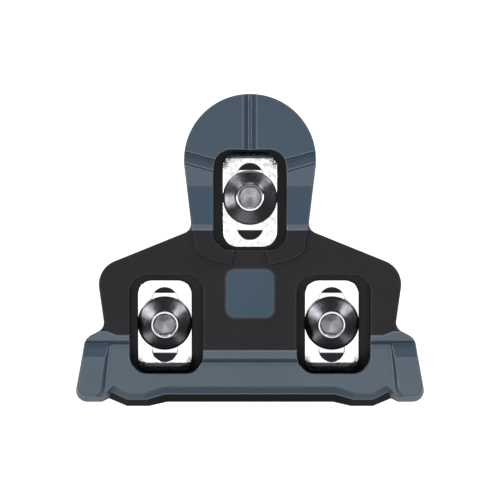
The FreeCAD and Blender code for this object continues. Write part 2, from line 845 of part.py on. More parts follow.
def roll_end(body, name, base):
    """Cuts the top of the plate's far end down along an arc that starts level with the top."""
    run = size("washer_roll_run")
    drop = size("washer_roll_drop")
    top = size("washer_thickness")
    sketch = new_sketch(body, f"{name}_roll_outline", "YZ_Plane")
    start = float(sketch.evalExpression(WASHER_LENGTH)) / 2.0 - run
    past = 0.2
    radius = (run * run + drop * drop) / (2.0 * drop)
    end_angle = math.acos((run + past) / radius)
    end_height = top - radius + radius * math.sin(end_angle)
    circle = Part.Circle(FreeCAD.Vector(start, top - radius, 0), FreeCAD.Vector(0, 0, 1), radius)
    sketch.addGeometry(Part.ArcOfCircle(circle, end_angle, math.pi / 2.0), False)
    spots = [(start, top), (start, top + 1.0), (start + run + past, top + 1.0),
             (start + run + past, end_height)]
    for here, there in zip(spots, spots[1:]):
        sketch.addGeometry(Part.LineSegment(FreeCAD.Vector(*here, 0),
                                            FreeCAD.Vector(*there, 0)), False)
    for tie in ((0, 2, 1, 1), (1, 2, 2, 1), (2, 2, 3, 1), (3, 2, 0, 1)):
        sketch.addConstraint(Sketcher.Constraint("Coincident", *tie))
    for kind, line in (("Vertical", 1), ("Horizontal", 2), ("Vertical", 3)):
        sketch.addConstraint(Sketcher.Constraint(kind, line))
    roll = "(Sizes.washer_roll_run ^ 2 + Sizes.washer_roll_drop ^ 2) / (2 * Sizes.washer_roll_drop)"
    begin = f"{WASHER_LENGTH} / 2 - Sizes.washer_roll_run"
    bind(sketch, "Radius", (0,), (), "roll_radius", roll, radius)
    bind(sketch, "DistanceX", (-1, 1), (0, 3), "roll_centre_along", begin, start)
    bind(sketch, "DistanceY", (0, 3), (-1, 1), "roll_centre_below",
         f"{roll} - Sizes.washer_thickness", radius - top)
    bind(sketch, "DistanceX", (-1, 1), (1, 1), "roll_start", begin, start)
    bind(sketch, "DistanceX", (-1, 1), (3, 1), "roll_end",
         f"{WASHER_LENGTH} / 2 + {past}", start + run + past)
    bind(sketch, "DistanceY", (-1, 1), (1, 2), "roll_above", "Sizes.washer_thickness + 1", top + 1.0)
    cut = body.newObject("PartDesign::Pocket", f"{name}_roll")
    cut.Profile = sketch
    cut.Type = "ThroughAll"
    cut.Midplane = True
    doc.recompute()
    if cut.Shape.Volume >= base.Shape.Volume:
        raise RuntimeError("the roll cuts nothing")
    return cut


def build_washer(name):
    body = doc.addObject("PartDesign::Body", f"{name}_washer")
    sketch = new_sketch(body, f"{name}_washer_outline", "XY_Plane")
    centred_box(sketch, "Sizes.washer_width", WASHER_LENGTH)
    pad = body.newObject("PartDesign::Pad", f"{name}_washer_plate")
    pad.Profile = sketch
    pad.setExpression("Length", "Sizes.washer_thickness")
    doc.recompute()
    corners = add_dressing(body, "PartDesign::Fillet", f"{name}_washer_corners", pad,
                           upright_edges(pad.Shape), "Sizes.washer_round")
    rim = add_dressing(body, "PartDesign::Fillet", f"{name}_washer_rim", corners,
                       rim_edges(corners.Shape, size("washer_thickness")), "Sizes.washer_edge")
    rolled = roll_end(body, f"{name}_washer", rim)
    slot_sketch = new_sketch(body, f"{name}_slot_outline", "XY_Plane")
    slot_sketch.setExpression(".AttachmentOffset.Base.y", "-Sizes.slot_shift")
    half = size("slot_width") / 2.0
    reach = float(slot_sketch.evalExpression(SLOT_LENGTH)) / 2.0 - half
    slot_sketch.addGeometry(Part.LineSegment(FreeCAD.Vector(half, -reach, 0),
                                             FreeCAD.Vector(half, reach, 0)), False)
    slot_sketch.addGeometry(Part.LineSegment(FreeCAD.Vector(-half, reach, 0),
                                             FreeCAD.Vector(-half, -reach, 0)), False)
    upper = Part.Circle(FreeCAD.Vector(0, reach, 0), FreeCAD.Vector(0, 0, 1), half)
    lower = Part.Circle(FreeCAD.Vector(0, -reach, 0), FreeCAD.Vector(0, 0, 1), half)
    slot_sketch.addGeometry(Part.ArcOfCircle(upper, 0.0, math.pi), False)
    slot_sketch.addGeometry(Part.ArcOfCircle(lower, math.pi, 2.0 * math.pi), False)
    for tie in ((0, 2, 2, 1), (2, 2, 1, 1), (1, 2, 3, 1), (3, 2, 0, 1)):
        slot_sketch.addConstraint(Sketcher.Constraint("Tangent", *tie))
    slot_sketch.addConstraint(Sketcher.Constraint("Vertical", 0))
    slot_sketch.addConstraint(Sketcher.Constraint("Symmetric", 2, 3, 3, 3, -1, 1))
    bind(slot_sketch, "Radius", (2,), (), "end", "Sizes.slot_width / 2", half)
    bind(slot_sketch, "DistanceY", (3, 3), (2, 3), "reach",
         f"{SLOT_LENGTH} - Sizes.slot_width", 2.0 * reach)
    slot = body.newObject("PartDesign::Pocket", f"{name}_slot")
    slot.Profile = slot_sketch
    slot.Type = "ThroughAll"
    slot.Reversed = True
    doc.recompute()
    if slot.Shape.Volume >= rolled.Shape.Volume:
        raise RuntimeError("the slot cuts nothing")
    top = size("washer_thickness")
    slot_rim = []
    for index, edge in enumerate(slot.Shape.Edges, start=1):
        box = edge.BoundBox
        if box.ZMin > top - 0.01 and box.XMax < half + 0.1 and box.XMin > -half - 0.1:
            slot_rim.append(f"Edge{index}")
    add_dressing(body, "PartDesign::Fillet", f"{name}_slot_rim", slot, slot_rim, "Sizes.slot_edge")
    body.Placement = washer_frame(name)
    return body


# Bolts: a low cone head with a raised ring round a hexagon socket

def build_bolt(name):
    body = doc.addObject("PartDesign::Body", f"{name}_bolt")
    profile = new_sketch(body, f"{name}_bolt_profile", "XZ_Plane")
    points = [
        ("0", "-Sizes.bolt_length"),
        ("Sizes.thread_radius - Sizes.tip_chamfer", "-Sizes.bolt_length"),
        ("Sizes.thread_radius", "Sizes.tip_chamfer - Sizes.bolt_length"),
        ("Sizes.thread_radius", "-Sizes.neck_length"),
        ("Sizes.neck_radius", "-Sizes.neck_length"),
        ("Sizes.neck_radius", "0"),
        ("Sizes.head_radius - Sizes.head_edge", "0"),
        ("Sizes.head_radius", "Sizes.head_edge"),
        ("Sizes.head_radius", "Sizes.head_rim_height"),
        ("Sizes.ring_radius + Sizes.ring_edge", "Sizes.head_height - Sizes.ring_edge"),
        ("Sizes.ring_radius", "Sizes.head_height"),
        ("0", "Sizes.head_height"),
    ]
    spots = []
    for across, along in points:
        x = profile.evalExpression(across)
        y = profile.evalExpression(along)
        spots.append(FreeCAD.Vector(float(x), float(y), 0))
    count = len(spots)
    for index in range(count):
        line = Part.LineSegment(spots[index], spots[(index + 1) % count])
        profile.addGeometry(line, False)
    for index in range(count):
        profile.addConstraint(Sketcher.Constraint("Coincident", index, 2, (index + 1) % count, 1))
    for index, (across, along) in enumerate(points):
        if across == "0":
            profile.addConstraint(Sketcher.Constraint("PointOnObject", index, 1, -2))
        else:
            bind(profile, "DistanceX", (-1, 1), (index, 1), f"across{index}", across,
                 spots[index].x)
        if along == "0":
            profile.addConstraint(Sketcher.Constraint("PointOnObject", index, 1, -1))
        else:
            bind(profile, "DistanceY", (-1, 1), (index, 1), f"along{index}", along,
                 spots[index].y)
    turned = body.newObject("PartDesign::Revolution", f"{name}_bolt_turned")
    turned.Profile = profile
    turned.ReferenceAxis = (profile, ["V_Axis"])
    turned.Angle = 360.0
    doc.recompute()
    socket_sketch = new_sketch(body, f"{name}_socket_outline", "XY_Plane")
    lift(socket_sketch, "Sizes.head_height")
    corner = size("socket_width") / math.sqrt(3.0)
    for index in range(6):
        here = math.radians(60.0 * index)
        there = math.radians(60.0 * (index + 1))
        socket_sketch.addGeometry(Part.LineSegment(
            FreeCAD.Vector(corner * math.cos(here), corner * math.sin(here), 0),
            FreeCAD.Vector(corner * math.cos(there), corner * math.sin(there), 0)), False)
    ring = Part.Circle(FreeCAD.Vector(0, 0, 0), FreeCAD.Vector(0, 0, 1), corner)
    socket_sketch.addGeometry(ring, True)
    for index in range(6):
        following = (index + 1) % 6
        socket_sketch.addConstraint(Sketcher.Constraint("Coincident", index, 2, following, 1))
        socket_sketch.addConstraint(Sketcher.Constraint("PointOnObject", index, 1, 6))
    for index in range(5):
        socket_sketch.addConstraint(Sketcher.Constraint("Equal", index, index + 1))
    socket_sketch.addConstraint(Sketcher.Constraint("Coincident", 6, 3, -1, 1))
    socket_sketch.addConstraint(Sketcher.Constraint("PointOnObject", 0, 1, -1))
    bind(socket_sketch, "Radius", (6,), (), "corner", "Sizes.socket_width / sqrt(3)", corner)
    socket = body.newObject("PartDesign::Pocket", f"{name}_socket")
    socket.Profile = socket_sketch
    socket.Type = "Length"
    socket.setExpression("Length", "Sizes.socket_depth")
    doc.recompute()
    if socket.Shape.Volume >= turned.Shape.Volume:
        raise RuntimeError("the socket cuts nothing")
    body.Placement = bolt_frame(name)
    return body


pieces = [core, front_cap, rear_cap, build_tile()]
for side_name in POCKETS:
    pieces.append(build_washer(side_name))
    pieces.append(build_bolt(side_name))

doc.recompute()
for item in doc.Objects:
    if "Invalid" in item.State or "Error" in item.State:
        raise RuntimeError(f"{item.Name} is {item.State}")
for piece in pieces:
    shape = piece.Shape
    if shape.isNull() or not shape.isValid() or len(shape.Solids) != 1:
        raise RuntimeError(f"{piece.Label} has no sound solid: {len(shape.Solids)} solids")

os.makedirs("parts", exist_ok=True)
for piece in pieces:
    piece.Shape.exportStep(f"parts/{piece.Label}.step")
    box = piece.Shape.BoundBox
    print(piece.Label, round(piece.Shape.Volume, 1), [round(x, 2) for x in
          (box.XMin, box.XMax, box.YMin, box.YMax, box.ZMin, box.ZMax)])
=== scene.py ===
# %% [markdown]
# A road pedal cleat, dressed for its picture
#
# The part is a palm-sized plate of moulded nylon in two colours, with three bright
# washers and three dark bolts. Its solids come from the frame, already in place and
# at their real size, so this script never moves them. It gives them their finishes,
# cuts real threads and sockets on the bolts, and sets up floor, light and camera.
# All lengths are in metres, as in the frame, and MM stands for one millimetre.

# %% The frame
import json
import math

import bmesh
import bpy
from mathutils import Matrix, Vector


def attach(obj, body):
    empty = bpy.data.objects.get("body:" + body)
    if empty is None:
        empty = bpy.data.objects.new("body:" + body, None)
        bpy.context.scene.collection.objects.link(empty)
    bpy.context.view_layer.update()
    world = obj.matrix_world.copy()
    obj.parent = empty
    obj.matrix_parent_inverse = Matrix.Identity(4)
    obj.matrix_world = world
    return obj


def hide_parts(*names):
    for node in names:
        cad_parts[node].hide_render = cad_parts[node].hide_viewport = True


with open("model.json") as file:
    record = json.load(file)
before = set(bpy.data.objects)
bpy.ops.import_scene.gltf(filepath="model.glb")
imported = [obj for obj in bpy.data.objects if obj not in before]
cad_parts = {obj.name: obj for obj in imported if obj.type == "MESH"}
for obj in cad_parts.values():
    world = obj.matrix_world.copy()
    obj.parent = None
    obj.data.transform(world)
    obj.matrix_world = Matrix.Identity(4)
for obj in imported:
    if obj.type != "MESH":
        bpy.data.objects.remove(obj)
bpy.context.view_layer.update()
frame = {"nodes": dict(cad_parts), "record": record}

MM = 0.001
record = frame["record"]
print("nodes:", sorted(frame["nodes"]))

# %% [markdown]
# Material graphs
#
# A material in Blender is a graph of nodes. All the finishes here start from the same
# few steps: take a principled shader, read a noise, turn it into a useful range, and
# mix two colours by it. Each step is a small function, so that a finish further down
# reads as a list of what the surface has. The noise is read from the object's own
# space and not from an unwrapped image. These solids have no natural seams to unwrap
# along, and read this way, the finish stays on its piece when the piece moves.

# %% A new material and its nodes
def blank_material(name):
    """A new material with a principled shader, and a function that adds nodes to it."""
    material = bpy.data.materials.new(name)
    material.use_nodes = True
    tree = material.node_tree
    shader = tree.nodes["Principled BSDF"]

    def add(kind, **settings):
        node = tree.nodes.new(kind)
        for key, value in settings.items():
            setattr(node, key, value)
        return node

    return material, tree, shader, add


def set_inputs(node, values):
    for key, value in values.items():
        node.inputs[key].default_value = value


def dress(names, material):
    """Gives CAD nodes a finish, in every material slot that they have."""
    for name in names:
        node = frame["nodes"][name]
        if not node.material_slots:
            node.data.materials.append(material)
        for material_slot in node.material_slots:
            material_slot.material = material
        print("dressed", name, "with", material.name)


# %% Noise and numbers
NOISE_ROUGHNESS = 0.55
NOISE_LOW = 0.35
NOISE_HIGH = 0.65


def grain(tree, add, scale, detail):
    """Noise read from the object's own space. Nearly all of it is NOISE_LOW to NOISE_HIGH."""
    place = add("ShaderNodeTexCoord")
    noise = add("ShaderNodeTexNoise")
    set_inputs(noise, {"Scale": scale, "Detail": detail, "Roughness": NOISE_ROUGHNESS})
    tree.links.new(place.outputs["Object"], noise.inputs["Vector"])
    return noise.outputs["Fac"]


def levels(tree, add, source, low, high, start=NOISE_LOW, end=NOISE_HIGH):
    """Gives low where the source is at start, high where it is at end, and no more."""
    spread = add("ShaderNodeMapRange")
    set_inputs(spread, {"From Min": start, "From Max": end, "To Min": low, "To Max": high})
    tree.links.new(source, spread.inputs["Value"])
    return spread.outputs["Result"]


def product(tree, add, first, second):
    node = add("ShaderNodeMath", operation="MULTIPLY")
    tree.links.new(first, node.inputs[0])
    tree.links.new(second, node.inputs[1])
    return node.outputs["Value"]


def scaled_sum(tree, add, source, factor, rest):
    """The source times a plain number, added to another source."""
    node = add("ShaderNodeMath", operation="MULTIPLY_ADD")
    node.inputs[1].default_value = factor
    tree.links.new(source, node.inputs[0])
    tree.links.new(rest, node.inputs[2])
    return node.outputs["Value"]


print("noise runs from about", NOISE_LOW, "to", NOISE_HIGH)

# %% Mixed colours and bent normals
BEVEL_SAMPLES = 6


def mixed(tree, add, factor, first, second):
    """The first colour where the factor is 0, and the second one where it is 1."""
    mix = add("ShaderNodeMix", data_type="RGBA")
    tree.links.new(factor, mix.inputs["Factor"])
    for key, colour in (("A", first), ("B", second)):
        if isinstance(colour, tuple):
            mix.inputs[key].default_value = (*colour, 1.0)
        else:
            tree.links.new(colour, mix.inputs[key])
    return mix.outputs["Result"]


def relief(tree, add, height, strength, depth, edge_radius):
    """Normals for tiny hills on a face, with every edge rounded off a little."""
    bevel = add("ShaderNodeBevel", samples=BEVEL_SAMPLES)
    bevel.inputs["Radius"].default_value = edge_radius
    bump = add("ShaderNodeBump")
    set_inputs(bump, {"Strength": strength, "Distance": depth})
    tree.links.new(height, bump.inputs["Height"])
    tree.links.new(bevel.outputs["Normal"], bump.inputs["Normal"])
    return bump.outputs["Normal"]


print("edges are rounded with", BEVEL_SAMPLES, "samples")

# %% [markdown]
# Painted highlights on edges and painted shade in corners
#
# The edges of the moulding get a colour paler than their faces: a painted highlight for
# the thin line of light that their rounds catch. Grooves and inner corners get a darker
# colour: painted shade, where less light reaches. Both could be painted by hand, but
# both follow from the shape, so two nodes can find them. A bevel node bends the shading
# beside an edge: where its normal leaves the true one, an edge is near. An ambient
# occlusion node tells how much of the sky a place can't see: where that is a lot, it is
# a corner.

# %% Where the edges and the corners are
FINDER_SAMPLES = 8
EDGE_STARTS = 0.998
EDGE_FULL = 0.975
CORNER_STARTS = 0.95
CORNER_FULL = 0.55


def near_edge(tree, add, width):
    """0 on a face and 1 beside an edge, told by how far a bevel bends the normal."""
    wide = add("ShaderNodeBevel", samples=FINDER_SAMPLES)
    wide.inputs["Radius"].default_value = width
    true = add("ShaderNodeNewGeometry")
    match = add("ShaderNodeVectorMath", operation="DOT_PRODUCT")
    tree.links.new(wide.outputs["Normal"], match.inputs[0])
    tree.links.new(true.outputs["Normal"], match.inputs[1])
    return levels(tree, add, match.outputs["Value"], 0.0, 1.0, EDGE_STARTS, EDGE_FULL)


def in_corner(tree, add, width):
    """0 on an open face and 1 deep in a groove or an inner corner."""
    open_sky = add("ShaderNodeAmbientOcclusion", samples=FINDER_SAMPLES, only_local=True)
    open_sky.inputs["Distance"].default_value = width
    return levels(tree, add, open_sky.outputs["AO"], 0.0, 1.0, CORNER_STARTS, CORNER_FULL)


bend = math.degrees(math.acos(EDGE_FULL))
print("an edge is full where the normal bends by", round(bend, 1), "degrees")

# %% [markdown]
# Moulded nylon
#
# Both plastics are injection moulded. The tool's steel is spark eroded, which leaves a
# fine even grain on the part, and every edge of the mould has a small radius that
# catches a thin line of light. The grain is a bump from a fine and a coarser noise.
# The radius is shading too, over the small rounds that the solids already have, since
# real rounds this fine would cost far more triangles. The line of light on the edges is
# also painted into the colour as a paler tone, and the grooves get painted shade. A slow
# noise shifts colour and roughness a little, as the flow of the melt does, so that no
# large face looks like a flat fill.

# %% One finish for everything that is moulded
# How wide the painted highlight along the edges is
EDGE_HIGHLIGHT_WIDTH = 0.30 * MM
# How far the painted shade in corners reaches, and how dark it is against the colour
CORNER_SHADE_WIDTH = 1.4 * MM
CORNER_SHADE_SHARE = 0.25
EDGE_RADIUS = 0.22 * MM
FLOW_SCALE = 90.0
FLOW_ROUGHNESS = 0.04
FINE_SCALE = 2600.0
COARSE_SCALE = 420.0
COARSE_SHARE = 0.6
GRAIN_STRENGTH = 0.25
NYLON_IOR = 1.5


def moulded_nylon(name, colour, shade, edge_highlight, sheen_level, roughness, grain_depth):
    """Nylon whose colour drifts from colour to shade, with painted highlights on its edges and
    painted shade in its corners.
    """
    material, tree, shader, add = blank_material(name)
    flow = grain(tree, add, FLOW_SCALE, 3.0)
    face = mixed(tree, add, levels(tree, add, flow, 0.0, 1.0), colour, shade)
    # Painted highlight: a paler colour along every edge, for the line of light that the rounds
    # catch
    highlighted_edges = mixed(tree, add, near_edge(tree, add, EDGE_HIGHLIGHT_WIDTH), face, edge_highlight)
    # Painted shade: the colour darkens deep in grooves and inner corners, where less light falls
    corner_shade = tuple(CORNER_SHADE_SHARE * value for value in colour)
    shaded_corners = mixed(tree, add, in_corner(tree, add, CORNER_SHADE_WIDTH), highlighted_edges, corner_shade)
    tree.links.new(shaded_corners, shader.inputs["Base Color"])

    rough = levels(tree, add, flow, roughness - FLOW_ROUGHNESS, roughness + FLOW_ROUGHNESS)
    tree.links.new(rough, shader.inputs["Roughness"])

    fine = grain(tree, add, FINE_SCALE, 2.0)
    coarse = grain(tree, add, COARSE_SCALE, 2.0)
    hills = scaled_sum(tree, add, coarse, COARSE_SHARE, fine)
    normal = relief(tree, add, hills, GRAIN_STRENGTH, grain_depth, EDGE_RADIUS)
    tree.links.new(normal, shader.inputs["Normal"])
    set_inputs(shader, {"Specular IOR Level": sheen_level, "IOR": NYLON_IOR})
    return material


print("one hill of the fine grain is about", round(1.0 / FINE_SCALE / MM, 2), "mm wide")

# %% [markdown]
# The colours
#
# The base is a black nylon with a low sheen. The tongue and the rear ledge, where the
# pedal grips, are a second shot of a grey-blue one, which is glossier. The tile in the
# middle has the same colour with a matt face. A black that a camera sees is never 0:
# this one is a very dark grey with a touch of blue. Its edges get a painted highlight,
# a colour much paler than that, so the small rounds stand out as they do on the real part.

# %% Black base, grey-blue caps and the matt tile
BLACK = (0.0080, 0.0074, 0.0115)
BLACK_SHADE = (0.0062, 0.0058, 0.0092)
# The paler colour painted along the black's edges as a highlight
BLACK_EDGE_HIGHLIGHT = (0.13, 0.125, 0.135)
GREY_BLUE = (0.062, 0.102, 0.146)
GREY_BLUE_SHADE = (0.057, 0.095, 0.136)
# The paler colour painted along the grey-blue's edges as a highlight
GREY_BLUE_EDGE_HIGHLIGHT = (0.21, 0.26, 0.31)

black_nylon = moulded_nylon(
    "black_nylon", BLACK, BLACK_SHADE, BLACK_EDGE_HIGHLIGHT,
    sheen_level=0.28, roughness=0.32, grain_depth=0.03 * MM)
grey_blue_nylon = moulded_nylon(
    "grey_blue_nylon", GREY_BLUE, GREY_BLUE_SHADE, GREY_BLUE_EDGE_HIGHLIGHT,
    sheen_level=0.65, roughness=0.23, grain_depth=0.02 * MM)
matt_tile = moulded_nylon(
    "matt_tile", GREY_BLUE, GREY_BLUE_SHADE, GREY_BLUE_EDGE_HIGHLIGHT,
    sheen_level=0.25, roughness=0.50, grain_depth=0.02 * MM)
dress(["core"], black_nylon)
dress(["front_cap", "rear_cap"], grey_blue_nylon)
dress(["centre_tile"], matt_tile)

# %% [markdown]
# Washers
#
# The washers are stamped from sheet steel, tumbled smooth and bright plated. They act
# as small mirrors and show whatever is above them, so the finish is almost all
# reflection: a pale metal, very low roughness, and a faint waviness from tumbling.
# One end of each is rolled down. The plating is thin there and shows dark specks, but
# only where that end meets the rounded outline. How far a place lies towards the
# outline is worked out from the washer's own box, as for a rounded rectangle: fold
# both halves together, take off the straight parts, and keep what is left.

# %% How near a place is to the washer's outline
WASHER_HALF_WIDTH = 5.5 * MM
WASHER_HALF_LENGTH = 9.55 * MM
WASHER_CORNER = 3.0 * MM


def from_outline(tree, add):
    """The place along the washer, and a distance that is WASHER_CORNER on the outline."""
    def step(operation, source, other):
        node = add("ShaderNodeVectorMath", operation=operation)
        node.inputs[1].default_value = other
        tree.links.new(source, node.inputs[0])
        return node.outputs["Vector"]

    size = (2.0 * WASHER_HALF_WIDTH, 2.0 * WASHER_HALF_LENGTH, 0.0)
    straight = (WASHER_HALF_WIDTH - WASHER_CORNER, WASHER_HALF_LENGTH - WASHER_CORNER, 0.0)
    place = add("ShaderNodeTexCoord").outputs["Generated"]
    centred = step("SUBTRACT", place, (0.5, 0.5, 0.5))
    sized = step("MULTIPLY", centred, size)
    folded = add("ShaderNodeVectorMath", operation="ABSOLUTE")
    tree.links.new(sized, folded.inputs[0])
    beyond = step("SUBTRACT", folded.outputs["Vector"], straight)
    kept = step("MAXIMUM", beyond, (0.0, 0.0, 0.0))
    reach = add("ShaderNodeVectorMath", operation="LENGTH")
    tree.links.new(kept, reach.inputs[0])
    parts = add("ShaderNodeSeparateXYZ")
    tree.links.new(sized, parts.inputs["Vector"])
    return parts.outputs["Y"], reach.outputs["Value"]


print("the corners' centres lie", round((WASHER_HALF_LENGTH - WASHER_CORNER) / MM, 2), "mm out")

# %% Bright plate with specks at its rolled end
PLATE = (0.93, 0.93, 0.94)
CLOUD = (0.40, 0.40, 0.42)
PITTED = (0.030, 0.030, 0.034)
EDGE_DARK = (0.22, 0.22, 0.23)
WAVE_SCALE = 1100.0
WAVE_STRENGTH = 0.5
WAVE_DEPTH = 0.02 * MM
SPECK_SCALE = 5200.0
SPECK_RANGE = (0.40, 0.50)
PLATE_ROUGHNESS = (0.05, 0.10)
EDGE_DARK_WIDTH = 0.14 * MM
PLATE_EDGE_RADIUS = 0.1 * MM
RIM_RANGE = (WASHER_CORNER - 1.5 * MM, WASHER_CORNER - 0.7 * MM)
END_RANGE = (5.6 * MM, 7.2 * MM)


def plated_steel(name, rolled_way, clouding):
    """Bright plate; rolled_way is +1 where the rolled end points to the tongue."""
    material, tree, shader, add = blank_material(name)
    waves = grain(tree, add, WAVE_SCALE, 6.0)
    face = mixed(tree, add, levels(tree, add, waves, 0.0, clouding), PLATE, CLOUD)

    along, reach = from_outline(tree, add)
    at_rim = levels(tree, add, reach, 0.0, 1.0, *RIM_RANGE)
    at_end = levels(tree, add, along, 0.0, 1.0, *(rolled_way * value for value in END_RANGE))
    specks = levels(tree, add, grain(tree, add, SPECK_SCALE, 3.0), 0.0, 1.0, *SPECK_RANGE)
    pits = product(tree, add, product(tree, add, at_rim, at_end), specks)
    pitted = mixed(tree, add, pits, face, PITTED)
    # A darker colour along every edge of the plate, a thin dark outline round the washer and its
    # slot
    edged = mixed(tree, add, near_edge(tree, add, EDGE_DARK_WIDTH), pitted, EDGE_DARK)
    tree.links.new(edged, shader.inputs["Base Color"])

    shader.inputs["Metallic"].default_value = 1.0
    tree.links.new(levels(tree, add, waves, *PLATE_ROUGHNESS), shader.inputs["Roughness"])
    normal = relief(tree, add, waves, WAVE_STRENGTH, WAVE_DEPTH, PLATE_EDGE_RADIUS)
    tree.links.new(normal, shader.inputs["Normal"])
    return material


front_plate = plated_steel("plated_steel_front", rolled_way=1.0, clouding=0.55)
rear_plate = plated_steel("plated_steel_rear", rolled_way=-1.0, clouding=0.0)
dress(["front_washer"], front_plate)
dress(["left_washer", "right_washer"], rear_plate)

# %% [markdown]
# Bolts
#
# Each bolt is turned from bar: a threaded shank, a plain neck, and a low cone of a
# head with a raised ring around its socket. The solid in the frame has the sizes but
# no thread. A bump could hint at one, but it would leave the outline smooth, and the
# shanks can be seen from below and through the slots. So each bolt is built again as a
# stack of rings. Every ring has the same number of points, and faces join each ring to
# the next, which makes one closed skin. A ring can be a circle, a hexagon for the
# socket, or a line of the thread, because only the distance from the axis changes.

# %% The bolt's sizes, with the head's seat at height 0
THREAD_RADIUS = 2.5 * MM
THREAD_PITCH = 0.8 * MM
THREAD_DEPTH = 0.42 * MM
NECK_RADIUS = 2.2 * MM
NECK_LENGTH = 2.4 * MM
SHANK_LENGTH = 8.0 * MM
HEAD_RADIUS = 5.45 * MM
HEAD_RIM = 0.8 * MM
HEAD_HEIGHT = 2.2 * MM
RING_RADIUS = 2.75 * MM
SOCKET_MOUTH = 2.35 * MM
SOCKET_WIDTH = 4.0 * MM
SOCKET_DEPTH = 1.7 * MM
print("the thread has about", round((SHANK_LENGTH - NECK_LENGTH) / THREAD_PITCH, 1), "turns")

# %% Rings for the turned surfaces and the socket
STEPS_ROUND = 96
ANGLES = [2.0 * math.pi * step / STEPS_ROUND for step in range(STEPS_ROUND)]
SIXTH = math.pi / 3.0


def ring_at(height, reaches):
    """One ring of points, from a distance from the axis for every angle."""
    return [(r * math.cos(a), r * math.sin(a), height) for r, a in zip(reaches, ANGLES)]


def circle(radius, height):
    return ring_at(height, [radius] * STEPS_ROUND)


def hexagon(width, height, turn):
    """A hexagon of that width across its flats, turned by an angle in radians."""
    from_flat = [(a - turn) % SIXTH - SIXTH / 2.0 for a in ANGLES]
    return ring_at(height, [width / 2.0 / math.cos(a) for a in from_flat])


corner = SOCKET_WIDTH / 2.0 / math.cos(SIXTH / 2.0)
print("the socket's corners lie", round(corner / MM, 2), "mm from the axis")

# %% [markdown]
# The thread
#
# A thread is a groove that climbs by one pitch in each turn. At one height, the groove
# is cut into the bar at one side and leaves its full radius at the other. So the
# radius of a ring follows from how far its angle is along the pitch, and the next ring
# up sees the same groove turned a little. At both ends the groove runs out gently, as
# it does where the rolling dies let go of the bar.

# %% Rings for the thread
THREAD_STEPS = 12
FLANK_SLOPE = 1.35
CREST_SHARE = 0.12


def thread_line(height, fullness):
    """One ring across the thread: the helix makes the radius change with the angle."""
    reaches = []
    for a in ANGLES:
        along = (height / THREAD_PITCH - a / (2.0 * math.pi)) % 1.0
        groove = FLANK_SLOPE * (1.0 - abs(2.0 * along - 1.0)) - CREST_SHARE
        groove = min(1.0, max(0.0, groove))
        reaches.append(THREAD_RADIUS - THREAD_DEPTH * fullness * groove)
    return ring_at(height, reaches)


def thread_rings(first, last, run_in, run_out):
    """Rings from the first height to the last one, with a groove that fades at both ends."""
    count = int(round((last - first) / THREAD_PITCH * THREAD_STEPS))
    rings = []
    for k in range(count + 1):
        height = first + (last - first) * k / count
        fullness = min(1.0, (height - first) / run_in, (last - height) / run_out)
        rings.append(thread_line(height, fullness))
    return rings


print("one pitch of the thread takes", THREAD_STEPS, "rings")

# %% [markdown]
# From the tip to the socket
#
# The rings run from the tip up the shank, out under the head, over the rim, up the
# cone, over the ring and down into the socket. Two rings close together make a crisp
# edge that still has a small radius, like an edge that was broken with a file. The
# socket ends in the shallow cone that the drill left. The head's underside stands a
# hair's breadth over the washer, too little to see, so that the two faces never lie
# in the very same plane while the bolt slides.

# %% One bolt as a stack of rings
SEAT_GAP = 0.02 * MM
THREAD_START = 0.5 * MM
RUN_IN = 0.6 * THREAD_PITCH
RUN_OUT = 0.9 * THREAD_PITCH
NECK_FILLET = 0.22 * MM
CONE_STEPS = 6

tip = -SHANK_LENGTH
thread_top = -NECK_LENGTH
cone_start = (HEAD_RADIUS - 0.12 * MM, HEAD_RIM + 0.06 * MM)
cone_end = (RING_RADIUS + 0.1 * MM, HEAD_HEIGHT - 0.38 * MM)
socket_floor = HEAD_HEIGHT - SOCKET_DEPTH

TIP = [(1.9 * MM, tip), (2.02 * MM, tip + 0.02 * MM), (2.1 * MM, tip + 0.1 * MM)]
NECK_AND_SEAT = [
    (NECK_RADIUS, thread_top + 0.25 * MM), (NECK_RADIUS, -0.25 * MM),
    (NECK_RADIUS + NECK_FILLET, SEAT_GAP), (HEAD_RADIUS - 0.3 * MM, SEAT_GAP)]
RIM = [
    (HEAD_RADIUS - 0.09 * MM, 0.06 * MM), (HEAD_RADIUS, 0.25 * MM),
    (HEAD_RADIUS, HEAD_RIM - 0.1 * MM), (HEAD_RADIUS - 0.03 * MM, HEAD_RIM), cone_start]
CONE = [
    tuple(a + (b - a) * k / CONE_STEPS for a, b in zip(cone_start, cone_end))
    for k in range(1, CONE_STEPS + 1)]
RAISED_RING = [
    (RING_RADIUS + 0.03 * MM, cone_end[1] + 0.04 * MM),
    (RING_RADIUS, HEAD_HEIGHT - 0.1 * MM), (RING_RADIUS - 0.04 * MM, HEAD_HEIGHT - 0.02 * MM),
    (RING_RADIUS - 0.1 * MM, HEAD_HEIGHT), (SOCKET_MOUTH + 0.03 * MM, HEAD_HEIGHT),
    (SOCKET_MOUTH - 0.02 * MM, HEAD_HEIGHT - 0.04 * MM)]
SOCKET_HEIGHTS = [HEAD_HEIGHT - 0.22 * MM, socket_floor + 0.5 * MM, socket_floor]
DRILL_CONE = [
    (1.9 * MM, socket_floor - 0.01 * MM), (1.0 * MM, socket_floor - 0.22 * MM),
    (0.1 * MM, socket_floor - 0.44 * MM)]


def bolt_rings(turn):
    rings = [circle(*point) for point in TIP]
    rings += thread_rings(tip + THREAD_START, thread_top, RUN_IN, RUN_OUT)
    rings += [circle(*point) for point in NECK_AND_SEAT + RIM + CONE + RAISED_RING]
    rings += [hexagon(SOCKET_WIDTH, height, turn) for height in SOCKET_HEIGHTS]
    rings += [circle(*point) for point in DRILL_CONE]
    return rings


print("one bolt takes", len(bolt_rings(0.0)), "rings of", STEPS_ROUND, "points")

